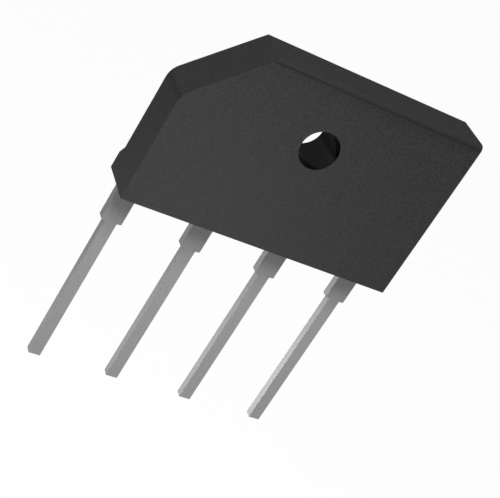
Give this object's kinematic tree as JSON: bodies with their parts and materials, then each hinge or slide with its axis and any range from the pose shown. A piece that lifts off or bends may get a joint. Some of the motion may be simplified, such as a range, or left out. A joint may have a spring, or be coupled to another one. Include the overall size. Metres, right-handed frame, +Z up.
{
  "type": "bridge rectifier",
  "caption": "Flat moulded bridge rectifier with a chamfered positive corner, a screw hole, a stepped rear foot and a row of shouldered leads.",
  "frame": {"origin": "centre of the mounting hole, in the plane of the upper rear face that lies against the heat sink", "axes": "+Z up, away from the leads; +Y to the rear, out of the heat-sink face; +X along the row of leads, from the positive to the negative one"},
  "size_m": [0.0252, 0.0047, 0.033],
  "materials": {
    "epoxy": "fine matte moulded, almost black",
    "tinned_lead": "satin tin plating",
    "silicon": "ground, dark grey",
    "copper_clip": "bare rolled copper"
  },
  "bodies": {
    "root": {"body": "epoxy", "lead_positive": "tinned_lead", "lead_ac_left": "tinned_lead", "lead_ac_right": "tinned_lead", "lead_negative": "tinned_lead", "diode_positive_left": "silicon", "diode_positive_right": "silicon", "diode_negative_left": "silicon", "diode_negative_right": "silicon", "clip_ac_left": "copper_clip", "clip_ac_right": "copper_clip", "clip_negative": "copper_clip"}
  },
  "joints": []
}
